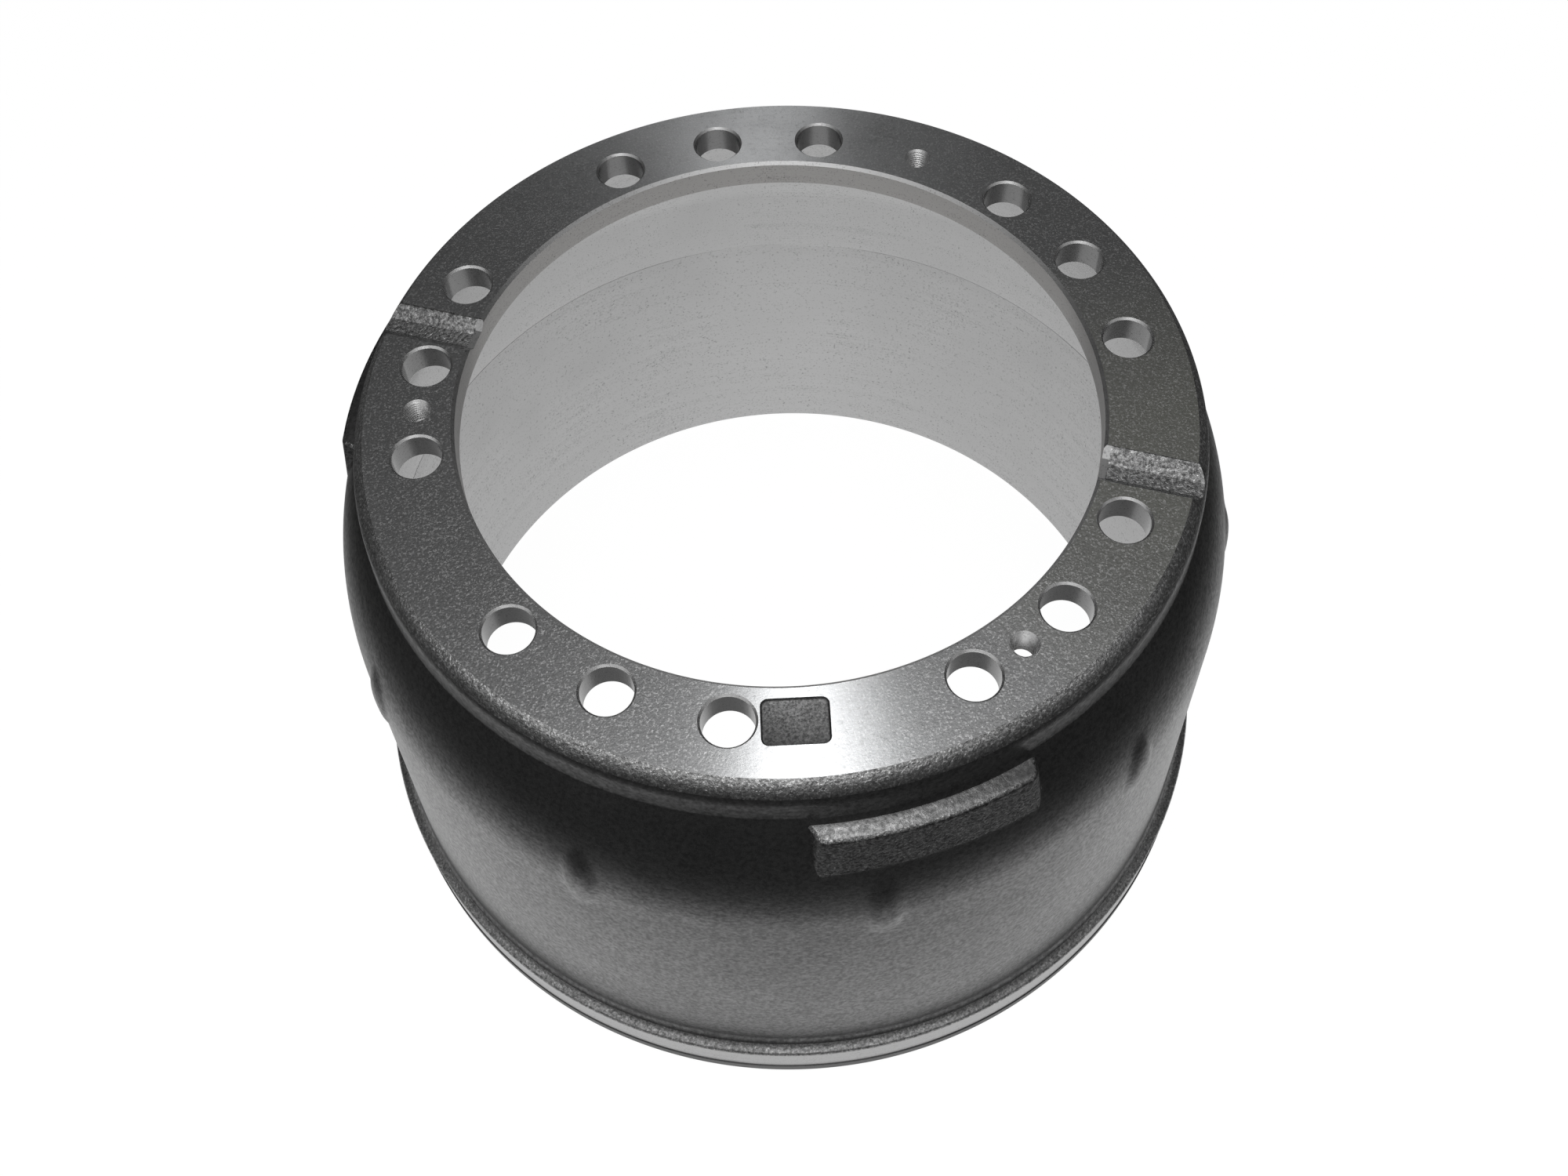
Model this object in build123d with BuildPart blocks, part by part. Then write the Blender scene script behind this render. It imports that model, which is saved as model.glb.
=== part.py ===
from build123d import *
import math
import os

# A heavy truck's brake drum: one grey iron casting, machined on the mounting flange, inside and on the rim.
# Millimetres. The origin is the centre of the open mouth, +Z is the drum's axis towards the mounting face,
# and one of the ten stud holes lies on +X. Each drop is measured down from the mounting face.

# Drum
drum_height = 285.0
braking_diameter = 410.0
braking_width = 167.0
mouth_chamfer = 2.5
relief_depth = 0.6

# Barrel wall, thicker towards the rim, and the rim round the mouth
wall_below_shoulder = 17.1
wall_above_rim = 25.7
rim_step = 6.8
rim_height = 30.5
rim_slope = 65.0
rim_root_radius = 9.0
rim_root_share = 0.95
lip_height = 9.5
lip_step = 0.5
lip_chamfer = 3.0

# Mounting flange, faced flat and bored to centre on the hub, with this much metal left inside the stud holes
flange_thickness = 14.0
stud_to_bore_wall = 6.0
bore_chamfer = 1.5
bore_lower_chamfer = 0.5

# Stud holes: a ring of ten, and five more, each midway between two of them
stud_circle_diameter = 335.0
stud_hole_diameter = 23.0
stud_chamfer = 1.0
stud_count = 10
stud_angle = 0.0
extra_stud_count = 5
extra_stud_angle = 18.0

# Three threaded holes on the same circle, drilled to the core of the thread
screw_core_diameter = 10.4
screw_chamfer = 1.3
screw_angles = (54.0, 171.0, 297.0)

# Included angle of the chamfers at the holes
chamfer_angle = 90.0

# The cast outside is turned by a little against the drilled holes
casting_turn = 0.8

# Rounded flange corner, side band and flared shoulder
band_set_in = 22.5
band_draft = 0.6
corner_width = 7.0
corner_drop = 15.0
crease_drop = 24.0
shoulder_drop = 94.0

# Inside of the shoulder
shoulder_wall = 15.0
flange_root_chamfer = 4.0
inner_bend_drop = 72.0
inner_bend_radius = 40.0

# Two cast clearance slots across the face, with a low turned ledge at the bore
slot_count = 2
slot_angle = 153.0
slot_width = 20.0
slot_depth = 6.0
slot_draft = 8.0
slot_floor_radius = 3.5
ledge_reach = 3.2
ledge_depth = 4.5

# Shallow cast pocket beside a stud hole
pocket_angle = 260.7
pocket_circle_diameter = 333.4
pocket_radial = 21.4
pocket_across = 28.8
pocket_corner = 3.5
pocket_depth = 1.6
pocket_draft = 15.0

# Three raised pads on the shoulder
pad_count = 3
pad_angle = 36.0
pad_drop = 27.0
pad_reach = 10.5
pad_across = 96.0
pad_flare = 17.0
pad_corner = 5.0
pad_draft = 8.0

# Ten small swellings where the shoulder runs into the barrel
swelling_count = 10
swelling_angle = 18.0
swelling_drop = 86.0
swelling_height = 3.0
swelling_radius = 11.0
swelling_half_length = 35.0

# How far a cut runs past the face that it opens
cut_over = 2.0

# Sizes that follow from the ones above
braking_radius = braking_diameter / 2
centring_bore_diameter = stud_circle_diameter - stud_hole_diameter - 2 * stud_to_bore_wall
bore_radius = centring_bore_diameter / 2
relief_radius = braking_radius + relief_depth
barrel_top_radius = braking_radius + wall_below_shoulder
barrel_foot_radius = braking_radius + wall_above_rim
rim_radius = barrel_foot_radius + rim_step
band_foot_radius = barrel_top_radius - band_set_in
band_top_radius = band_foot_radius - band_draft
face_radius = band_top_radius - corner_width
flange_underside = drum_height - flange_thickness
shoulder_foot = drum_height - shoulder_drop
barrel_foot = rim_height + rim_step / math.tan(math.radians(rim_slope))
rim_root_room = rim_step / math.sin(math.radians(rim_slope)) / math.tan(math.radians(rim_slope / 2))
rim_root_limit = rim_root_share * rim_root_room

# The shoulder is one arc that leaves the barrel smoothly and ends at the crease
barrel_lean = math.atan2(barrel_foot_radius - barrel_top_radius, shoulder_foot - barrel_foot)
barrel_up = Vector(-math.sin(barrel_lean), math.cos(barrel_lean))
shoulder_run = Vector(band_foot_radius - barrel_top_radius, shoulder_drop - crease_drop)
barrel_inward = Vector(-math.cos(barrel_lean), -math.sin(barrel_lean))
shoulder_radius = shoulder_run.length**2 / (2 * shoulder_run.dot(barrel_inward))
shoulder_centre = Vector(barrel_top_radius, shoulder_foot) + barrel_inward * shoulder_radius


def shoulder_at(drop):
    """Return the shoulder's radius from the axis at a drop below the face."""
    rise = drum_height - drop - shoulder_centre.Y
    return shoulder_centre.X + math.sqrt(shoulder_radius**2 - rise**2)


# One pad, standing towards +X, with drafted sides and rounded upright edges
pad_radius = band_foot_radius + pad_reach
pad_root_radius = band_foot_radius - pad_reach
pad_corner_x = math.sqrt(pad_radius**2 - (pad_across / 2) ** 2)
pad_root_y = pad_across / 2 + (pad_corner_x - pad_root_radius) * math.tan(math.radians(pad_flare))
pad_depth = shoulder_drop - pad_drop

with BuildPart() as pad:
    with BuildSketch(Plane.XY.offset(drum_height - pad_drop)) as pad_top:
        with BuildLine():
            ThreePointArc((pad_corner_x, -pad_across / 2), (pad_radius, 0), (pad_corner_x, pad_across / 2))
            Polyline(
                (pad_corner_x, pad_across / 2),
                (pad_root_radius, pad_root_y),
                (pad_root_radius, -pad_root_y),
                (pad_corner_x, -pad_across / 2),
            )
        make_face()
        fillet(pad_top.vertices().group_by(Axis.X)[-1], pad_corner)
    extrude(amount=-pad_depth, taper=-pad_draft)

# One swelling towards +X: a spindle that leans with the shoulder and lies mostly inside the wall
swelling_top = Vector(shoulder_at(swelling_drop), drum_height - swelling_drop)
swelling_lean = math.asin((swelling_top.Y - shoulder_centre.Y) / shoulder_radius)
swelling_out = Vector(math.cos(swelling_lean), 0, math.sin(swelling_lean))
swelling_depth = swelling_radius - swelling_height
swelling_middle = Vector(swelling_top.X, 0, swelling_top.Y) - swelling_out * swelling_depth
swelling_plane = Plane(origin=swelling_middle, x_dir=swelling_out, z_dir=(0, -1, 0))

with BuildPart() as swelling:
    with BuildSketch(swelling_plane):
        with BuildLine():
            ThreePointArc((0, -swelling_half_length), (-swelling_radius, 0), (0, swelling_half_length))
            Line((0, swelling_half_length), (0, -swelling_half_length))
        make_face()
    revolve(axis=Axis(swelling_plane.origin, swelling_plane.y_dir))

# The space of one slot towards +X: drafted sides and a rounded floor, shallower inside the ledge's edge
slot_slope = math.tan(math.radians(slot_draft))
slot_floor_half = slot_width / 2 - slot_depth * slot_slope
slot_mouth_half = slot_width / 2 + cut_over * slot_slope

with BuildPart() as slot:
    with BuildSketch(Plane.YZ) as slot_section:
        with BuildLine():
            Polyline(
                (-slot_mouth_half, drum_height + cut_over),
                (-slot_floor_half, drum_height - slot_depth),
                (slot_floor_half, drum_height - slot_depth),
                (slot_mouth_half, drum_height + cut_over),
                close=True,
            )
        make_face()
        fillet(slot_section.vertices().group_by(Axis.Y)[0], slot_floor_radius)
    extrude(amount=band_foot_radius + cut_over)
    with BuildSketch(Plane.XY.offset(drum_height - ledge_depth)):
        Circle(bore_radius + ledge_reach)
    extrude(amount=-slot_depth, mode=Mode.SUBTRACT)


def drill(diameter, edge, count, angle):
    """Drill holes with chamfered edges through the flange, evenly round the stud circle from an angle on."""
    with Locations((0, 0, drum_height)):
        with PolarLocations(stud_circle_diameter / 2, count, start_angle=angle):
            CounterSinkHole(diameter / 2, diameter / 2 + edge, counter_sink_angle=chamfer_angle)


# The drum: the outside is turned and given its pads and swellings before the inside is cut out
with BuildPart() as brake_drum:
    with BuildSketch(Plane.XZ) as outside:
        with BuildLine():
            band_top = (band_top_radius, drum_height - corner_drop)
            crease = (band_foot_radius, drum_height - crease_drop)
            shoulder_end = (barrel_top_radius, shoulder_foot)
            rim_root = (barrel_foot_radius, barrel_foot)
            Polyline((0, 0), (0, drum_height), (face_radius, drum_height))
            TangentArc(band_top, (face_radius, drum_height), tangent=(0, 1))
            Line(band_top, crease)
            TangentArc(shoulder_end, crease, tangent=barrel_up)
            Polyline(
                shoulder_end,
                rim_root,
                (rim_radius, rim_height),
                (rim_radius, lip_height + lip_step),
                (rim_radius + lip_step, lip_height),
                (rim_radius + lip_step, lip_chamfer),
                (rim_radius + lip_step - lip_chamfer, 0),
                (0, 0),
            )
        make_face()
        fillet(outside.vertices().sort_by_distance(rim_root)[0], min(rim_root_radius, rim_root_limit))
    revolve(axis=Axis.Z)

    with PolarLocations(0, pad_count, start_angle=pad_angle + casting_turn):
        add(pad.part)
    with PolarLocations(0, swelling_count, start_angle=swelling_angle + casting_turn):
        add(swelling.part)

    with BuildSketch(Plane.XZ) as inside:
        with BuildLine():
            flange_root = (band_foot_radius - shoulder_wall, flange_underside)
            inner_bend = (relief_radius, drum_height - inner_bend_drop)
            Polyline(
                (0, 0),
                (braking_radius + mouth_chamfer, 0),
                (braking_radius, mouth_chamfer),
                (braking_radius, braking_width),
                (relief_radius, braking_width + relief_depth),
                inner_bend,
                flange_root,
                (bore_radius + bore_lower_chamfer, flange_underside),
                (bore_radius, flange_underside + bore_lower_chamfer),
                (bore_radius, drum_height - bore_chamfer),
                (bore_radius + bore_chamfer, drum_height),
                (0, drum_height),
                close=True,
            )
        make_face()
        fillet(inside.vertices().sort_by_distance(inner_bend)[0], inner_bend_radius)
        chamfer(inside.vertices().sort_by_distance(flange_root)[0], flange_root_chamfer)
    revolve(axis=Axis.Z, mode=Mode.SUBTRACT)

    with PolarLocations(0, slot_count, start_angle=slot_angle + casting_turn):
        add(slot.part, mode=Mode.SUBTRACT)

    with BuildSketch(Plane.XY.offset(drum_height)):
        with PolarLocations(pocket_circle_diameter / 2, 1, start_angle=pocket_angle + casting_turn):
            RectangleRounded(pocket_radial, pocket_across, pocket_corner)
    extrude(amount=-pocket_depth, taper=pocket_draft, mode=Mode.SUBTRACT)

    drill(stud_hole_diameter, stud_chamfer, stud_count, stud_angle)
    drill(stud_hole_diameter, stud_chamfer, extra_stud_count, extra_stud_angle)
    for screw_angle in screw_angles:
        drill(screw_core_diameter, screw_chamfer, 1, screw_angle)

brake_drum.part.label = "brake_drum"
os.makedirs("parts", exist_ok=True)
export_step(brake_drum.part, "parts/brake_drum.step")
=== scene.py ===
"""A heavy truck's brake drum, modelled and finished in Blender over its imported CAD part.

Sizes in the classes are millimetres and angles are degrees. The meshes are metres, in the frame of the CAD part: the
origin is the centre of the open mouth, +Z points to the mounting face, and one of the ten stud holes lies on +X.
"""

import logging
import math
from collections.abc import Callable, Sequence
from dataclasses import dataclass, field
from enum import Enum

import bpy
from mathutils import Matrix, Vector


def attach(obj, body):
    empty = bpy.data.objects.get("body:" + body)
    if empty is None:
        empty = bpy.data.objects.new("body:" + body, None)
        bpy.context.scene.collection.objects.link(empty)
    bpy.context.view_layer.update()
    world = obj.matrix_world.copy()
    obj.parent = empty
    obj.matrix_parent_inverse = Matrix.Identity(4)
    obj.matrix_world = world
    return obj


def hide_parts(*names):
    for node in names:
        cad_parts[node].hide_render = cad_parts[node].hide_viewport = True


MM = 0.001
TINY = MM / 100
FACE = 285.0  # the mounting face's height
OVER = 2.0  # how far a cut runs past the face that it opens
LEVEL = 0.9  # the least height of the normal of a level face
SLOPING = 0.5  # the least height of the normal of a face that looks up
STEEP = 0.1  # the most height of the normal of an upright face
QUARTER_TURN = 0.25
LOG = logging.getLogger("brake_drum")

Piece = bpy.types.Object
Socket = bpy.types.NodeSocket
Span = tuple[float, float]

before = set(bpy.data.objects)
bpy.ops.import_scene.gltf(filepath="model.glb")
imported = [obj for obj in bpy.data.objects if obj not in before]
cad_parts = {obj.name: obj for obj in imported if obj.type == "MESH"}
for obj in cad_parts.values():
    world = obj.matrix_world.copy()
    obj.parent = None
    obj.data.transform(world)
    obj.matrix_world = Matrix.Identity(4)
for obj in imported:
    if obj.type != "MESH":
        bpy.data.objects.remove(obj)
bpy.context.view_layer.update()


class Join(Enum):
    """What a boolean does with its tool."""

    ADD = "UNION"
    CUT = "DIFFERENCE"


class Pick(Enum):
    """What a selection is made of, with the mesh's name for all of them."""

    FACE = "polygons"
    EDGE = "edges"


class Region(Enum):
    """The parts of the surface that have a finish of their own, numbered as the material slots."""

    CAST = 0
    FACE = 1
    BORE = 2
    HOLES = 3
    SLOTS = 4
    BRAKING = 5
    RIM = 6
    LIP = 7
    INSIDE = 8
    LEDGE = 9
    THREADS = 10
    POCKET = 11
    CORNER = 12
    RIM_TOP = 13
    PAD = 14
    EDGE = 15


# -------- hand moves


def hold(piece: Piece) -> None:
    """Make a piece the active one and the only one selected.

    Args:
        piece: The object to take in hand.
    """
    bpy.ops.object.select_all(action="DESELECT")
    piece.select_set(True)
    bpy.context.view_layer.objects.active = piece


def edit(piece: Piece) -> None:
    """Take a piece into edit mode with all of it selected.

    Args:
        piece: The object to edit.
    """
    hold(piece)
    bpy.ops.object.mode_set(mode="EDIT")
    bpy.ops.mesh.select_all(action="SELECT")


def close_edit() -> None:
    """Go back to object mode."""
    bpy.ops.object.mode_set(mode="OBJECT")


def pick(piece: Piece, kind: Pick, test: Callable[..., bool]) -> None:
    """Take a piece into edit mode with only some of its faces or edges selected.

    Args:
        piece: The object to edit.
        kind: What is picked.
        test: Says whether one is picked, from a face's normal or from an edge's two ends, in metres.
    """
    edit(piece)
    bpy.ops.mesh.select_all(action="DESELECT")
    bpy.ops.mesh.select_mode(type=kind.name)
    close_edit()
    points = piece.data.vertices
    for item in getattr(piece.data, kind.value):
        item.select = test(item.normal) if kind is Pick.FACE else test(*(points[end].co for end in item.vertices))
    bpy.ops.object.mode_set(mode="EDIT")


def settle(piece: Piece) -> None:
    """Move a piece's place and turn into its mesh and point its faces outwards.

    Args:
        piece: The object whose modelling is over.
    """
    hold(piece)
    bpy.ops.object.transform_apply(location=True, rotation=True, scale=True)
    edit(piece)
    bpy.ops.mesh.remove_doubles(threshold=TINY)
    bpy.ops.mesh.normals_make_consistent(inside=False)
    close_edit()


def box(name: str, middle: Sequence[float], size: Sequence[float]) -> Piece:
    """Add a box.

    Args:
        name: The new object's name.
        middle: Its middle.
        size: Its size along each axis.

    Returns:
        The new object.
    """
    bpy.ops.mesh.primitive_cube_add(size=1.0, location=[value * MM for value in middle])
    piece = bpy.context.object
    piece.name = name
    piece.scale = [value * MM for value in size]
    bpy.ops.object.transform_apply(location=True, rotation=True, scale=True)
    return piece


def rod(name: str, sides: int, radius: float, low: float, high: float, x: float = 0.0) -> Piece:
    """Add an upright rod.

    Args:
        name: The new object's name.
        sides: How many sides stand for the round.
        radius: Its radius.
        low: The height of its lower end.
        high: The height of its upper end.
        x: Where its axis stands along X.

    Returns:
        The new object.
    """
    middle = (x * MM, 0, (high + low) / 2 * MM)
    bpy.ops.mesh.primitive_cylinder_add(vertices=sides, radius=radius * MM, depth=(high - low) * MM, location=middle)
    piece = bpy.context.object
    piece.name = name
    return piece


def trace(name: str, points: Sequence[Vector], closed: bool = True) -> Piece:
    """Draw a line by extruding one vertex from point to point.

    Args:
        name: The new object's name.
        points: The line's points, in metres.
        closed: Whether the line returns to its first point.

    Returns:
        The new object, in object mode.
    """
    bpy.ops.mesh.primitive_plane_add(size=MM, location=(0, 0, 0))
    piece = bpy.context.object
    piece.name = name
    edit(piece)
    bpy.ops.mesh.select_mode(type="VERT")
    bpy.ops.mesh.merge(type="CENTER")
    bpy.ops.transform.translate(value=points[0])
    path = [*points, points[0]] if closed else list(points)
    for here, there in zip(path, path[1:]):
        bpy.ops.mesh.extrude_region_move(TRANSFORM_OT_translate={"value": there - here})
    bpy.ops.mesh.select_all(action="SELECT")
    bpy.ops.mesh.remove_doubles(threshold=TINY)
    close_edit()
    return piece


def copy_round(piece: Piece, count: int, start: float) -> None:
    """Copy a piece evenly round the drum's axis and turn it to its place.

    Args:
        piece: The object, modelled towards +X.
        count: How many there are in the round.
        start: The first one's angle.
    """
    hold(piece)
    bpy.ops.object.transform_apply(location=True, rotation=True, scale=True)
    edit(piece)
    if count > 1:
        turn = math.tau * (count - 1) / count
        bpy.ops.mesh.spin(steps=count - 1, dupli=True, angle=turn, center=(0, 0, 0), axis=(0, 0, 1))
    close_edit()
    piece.data.transform(Matrix.Rotation(math.radians(start), 4, "Z"))


def combine(piece: Piece, tool: Piece, how: Join) -> None:
    """Add a tool to a piece or cut the piece with it, and clear the tool away.

    Args:
        piece: The object that stays.
        tool: The object that is used up.
        how: Whether the tool is added or cut out.
    """
    settle(tool)
    hold(piece)
    modifier = piece.modifiers.new(how.name.lower(), "BOOLEAN")
    modifier.operation = how.value
    modifier.object = tool
    modifier.solver = "MANIFOLD"
    before = len(piece.data.polygons)
    bpy.ops.object.modifier_apply(modifier=modifier.name)
    LOG.info("%s %s: %d faces became %d", how.name.lower(), tool.name, before, len(piece.data.polygons))
    bpy.data.objects.remove(tool)


def slope(angle: float) -> float:
    """Return how far a line leans out per millimetre of rise, from its angle to the upright."""
    return math.tan(math.radians(angle))


def arc(first: Vector, last: Vector, centre: Vector, steps: int) -> list[Vector]:
    """Return the points of an arc.

    Args:
        first: Its first point, seen from the centre.
        last: Its last point, seen from the centre.
        centre: Its centre.
        steps: How many straight runs stand for it.

    Returns:
        The points from the first to the last.
    """
    sweep = first.angle(last)
    points = []
    for step in range(steps + 1):
        share = step / steps
        mixed = first * math.sin((1 - share) * sweep) + last * math.sin(share * sweep)
        points.append(centre + mixed / math.sin(sweep))
    return points


def soften(before: Vector, corner: Vector, after: Vector, radius: float, steps: int) -> list[Vector]:
    """Round one corner of a line.

    Args:
        before: A point before it.
        corner: The sharp corner.
        after: A point after it.
        radius: The radius of the rounding.
        steps: How many straight runs stand for it.

    Returns:
        The points of the rounding.
    """
    into, out = (before - corner).normalized(), (after - corner).normalized()
    half = into.angle(out) / 2
    centre = corner + (into + out).normalized() * (radius / math.sin(half))
    first = corner + into * (radius / math.tan(half)) - centre
    last = corner + out * (radius / math.tan(half)) - centre
    return arc(first, last, centre, steps)


# -------- finishes


class Nodes:
    """A node tree, filled a few words at a time."""

    def __init__(self, tree: bpy.types.NodeTree) -> None:
        """Empty the tree of a material or a world and take it in hand."""
        self.tree = tree
        tree.nodes.clear()

    def node(self, kind: str, inputs: dict | None = None, **settings: object) -> bpy.types.Node:
        """Add a node.

        Args:
            kind: Blender's name of the node type.
            inputs: Its inputs by name or number, each a value or another node's output.
            settings: Its own settings.

        Returns:
            The new node.
        """
        made = self.tree.nodes.new(kind)
        for key, value in settings.items():
            setattr(made, key, value)
        for key, value in (inputs or {}).items():
            if isinstance(value, Socket):
                self.tree.links.new(value, made.inputs[key])
            else:
                made.inputs[key].default_value = value
        return made

    def math(self, operation: str, first: object, second: object) -> Socket:
        """Return a number worked out from two numbers by the named operation."""
        return self.node("ShaderNodeMath", {0: first, 1: second}, operation=operation).outputs[0]

    def times(self, first: object, second: object) -> Socket:
        """Return the product of two numbers."""
        return self.math("MULTIPLY", first, second)

    def vector(self, operation: str, first: object, second: object) -> Socket:
        """Return a vector worked out from two vectors by the named operation."""
        return self.node("ShaderNodeVectorMath", {0: first, 1: second}, operation=operation).outputs[0]

    def length(self, vector: object) -> Socket:
        """Return a vector's length."""
        return self.node("ShaderNodeVectorMath", {0: vector}, operation="LENGTH").outputs["Value"]

    def rise(self, place: object) -> Socket:
        """Return the Z of a place."""
        return self.node("ShaderNodeSeparateXYZ", {0: place}).outputs["Z"]

    def band(self, value: object, span: Span, start: float, end: float) -> Socket:
        """Return a number stretched from its own span onto start to end and held there."""
        inputs = {"Value": value, "From Min": span[0], "From Max": span[1], "To Min": start, "To Max": end}
        return self.node("ShaderNodeMapRange", inputs).outputs[0]


class Sheet(Nodes):
    """One material's nodes."""

    def __init__(self, name: str) -> None:
        """Start an empty material.

        Args:
            name: The material's name.
        """
        self.material = bpy.data.materials.new(name)
        self.material.use_nodes = True
        super().__init__(self.material.node_tree)

    def place(self) -> Socket:
        """Return the place on the piece, in metres."""
        return self.node("ShaderNodeTexCoord").outputs["Object"]

    def noise(self, place: object, grain: float, detail: float, rough: float) -> Socket:
        """Return a soft noise of grains of one size, about 0.5 in the mean."""
        inputs = {"Vector": place, "Scale": 1 / (grain * MM), "Detail": detail, "Roughness": rough}
        return self.node("ShaderNodeTexNoise", inputs).outputs[0]

    def lines(self, along: object, pitch: float, detail: float, rough: float) -> Socket:
        """Return a noise of lines at one pitch, across the way that a number grows."""
        inputs = {"W": along, "Scale": 1 / (pitch * MM), "Detail": detail, "Roughness": rough}
        return self.node("ShaderNodeTexNoise", inputs, noise_dimensions="1D").outputs[0]

    def sway(self, noise: object, share: float, span: Span = (0.3, 0.7)) -> Socket:
        """Return a factor that goes up and down round 1 by a share as a noise goes through its span."""
        return self.band(noise, span, 1.0 - share, 1.0 + share)

    def blend(self, share: object, first: object, second: object) -> Socket:
        """Return two colours mixed, with a share of the second. Inputs 6 and 7 and output 2 are the colours."""
        return self.node("ShaderNodeMix", {0: share, 6: first, 7: second}, data_type="RGBA").outputs[2]

    def bump(self, height: object, depth: float, under: object = None) -> Socket:
        """Raise a surface by a height.

        Args:
            height: The height's output, from 0 to 1.
            depth: What 1 is.
            under: The normal of a coarser bump under it.

        Returns:
            The new normal's output.
        """
        inputs = {"Height": height, "Distance": depth * MM, "Strength": 1.0}
        if under is not None:
            inputs["Normal"] = under
        return self.node("ShaderNodeBump", inputs).outputs[0]

    def finish(self, **inputs: object) -> bpy.types.Material:
        """Close the material with one principled shader.

        Args:
            inputs: The shader's inputs, with _ for a space in their names.

        Returns:
            The finished material.
        """
        named = {key.replace("_", " "): value for key, value in inputs.items()}
        shader = self.node("ShaderNodeBsdfPrincipled", named)
        self.node("ShaderNodeOutputMaterial", {"Surface": shader.outputs[0]})
        return self.material


def grey(value: float, warm: float = 0.0) -> tuple[float, float, float, float]:
    """Return a grey of a linear brightness, made warmer by a share."""
    return (value * (1 + warm), value, value * (1 - warm), 1.0)


@dataclass(frozen=True)
class TurnedIron:
    """Bare grey iron off the lathe: fine marks round the axis, open pores and a silky streak across the marks.

    Bands are the ranges of a noise in which an effect comes in. The reflection patch is a painted reflection: a
    lighter olive tint round a place, in metres. The film is a second, speckled gloss.
    """

    name: str
    colour: float = 0.42
    warm: float = 0.0
    roughness: float = 0.3
    rough_spread: float = 0.06
    anisotropy: float = 0.75
    mark_pitch: float = 0.9
    mark_depth: float = 0.002
    mark_tone: float = 0.08
    ring_pitch: float = 7.0
    ring_tone: float = 0.05
    pore_size: float = 0.9
    pore_band: Span = (0.28, 0.42)
    pore_dark: float = 0.55
    pore_lift: float = 3.0
    glint_band: Span = (0.53, 0.65)
    painted_glint: float = 0.3
    blotch_size: float = 45.0
    blotch: float = 0.1
    reflection_patch: float = 0.0
    reflection_blue: float = 0.6
    reflection_place: tuple[float, float, float] = (0.17, -0.075, 0.285)
    reflection_reach: Span = (0.03, 0.13)
    film: float = 0.0
    film_roughness: float = 0.45
    film_index: float = 4.2
    film_grain: float = 0.15
    speck_size: float = 0.9
    speck_band: Span = (0.55, 0.64)

    def build(self) -> bpy.types.Material:
        """Return the material."""
        sheet = Sheet(self.name)
        place = sheet.place()
        radius = sheet.length(sheet.vector("MULTIPLY", place, (1.0, 1.0, 0.0)))
        along = sheet.math("ADD", radius, sheet.rise(place))
        marks = sheet.lines(along, self.mark_pitch, 3.0, 0.7)
        rings = sheet.lines(along, self.ring_pitch, 2.0, 0.5)
        pores = sheet.noise(place, self.pore_size, 2.0, 0.6)
        clouds = sheet.noise(place, self.blotch_size, 3.0, 0.6)
        shade = sheet.band(pores, self.pore_band, self.pore_dark, 1.0)
        # Painted glints: specks of the pores are made lighter in the colour.
        shade = sheet.times(shade, sheet.band(pores, self.glint_band, 1.0, 1.0 + self.painted_glint))
        for noise, share in ((clouds, self.blotch), (marks, self.mark_tone), (rings, self.ring_tone)):
            shade = sheet.times(shade, sheet.sway(noise, share))
        colour = sheet.blend(shade, grey(0.0), grey(self.colour, self.warm))
        # Painted reflection: the face is coloured lighter and more olive round one place.
        if self.reflection_patch:
            away = sheet.length(sheet.vector("SUBTRACT", place, self.reflection_place))
            tint = (1 + self.reflection_patch, 1 + self.reflection_patch, 1 + self.reflection_patch * self.reflection_blue, 1.0)
            reflected = sheet.blend(sheet.band(away, self.reflection_reach, 1.0, 0.0), grey(1.0), tint)
            colour = sheet.vector("MULTIPLY", colour, reflected)
        film = {}
        if self.film:
            specks = sheet.noise(place, self.speck_size, 1.0, 0.5)
            film = {
                "Coat_Weight": sheet.band(specks, self.speck_band, self.film, 1.0),
                "Coat_Roughness": self.film_roughness,
                "Coat_IOR": self.film_index,
                "Coat_Normal": sheet.bump(pores, self.film_grain),
            }
        return sheet.finish(
            Base_Color=colour,
            Metallic=1.0,
            Roughness=sheet.times(sheet.sway(clouds, self.rough_spread), self.roughness),
            Anisotropic=self.anisotropy,
            Anisotropic_Rotation=QUARTER_TURN,
            Tangent=sheet.vector("CROSS_PRODUCT", (0.0, 0.0, 1.0), place),
            Normal=sheet.bump(marks, self.mark_depth, sheet.bump(pores, self.mark_depth * self.pore_lift)),
            **film,
        )


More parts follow.
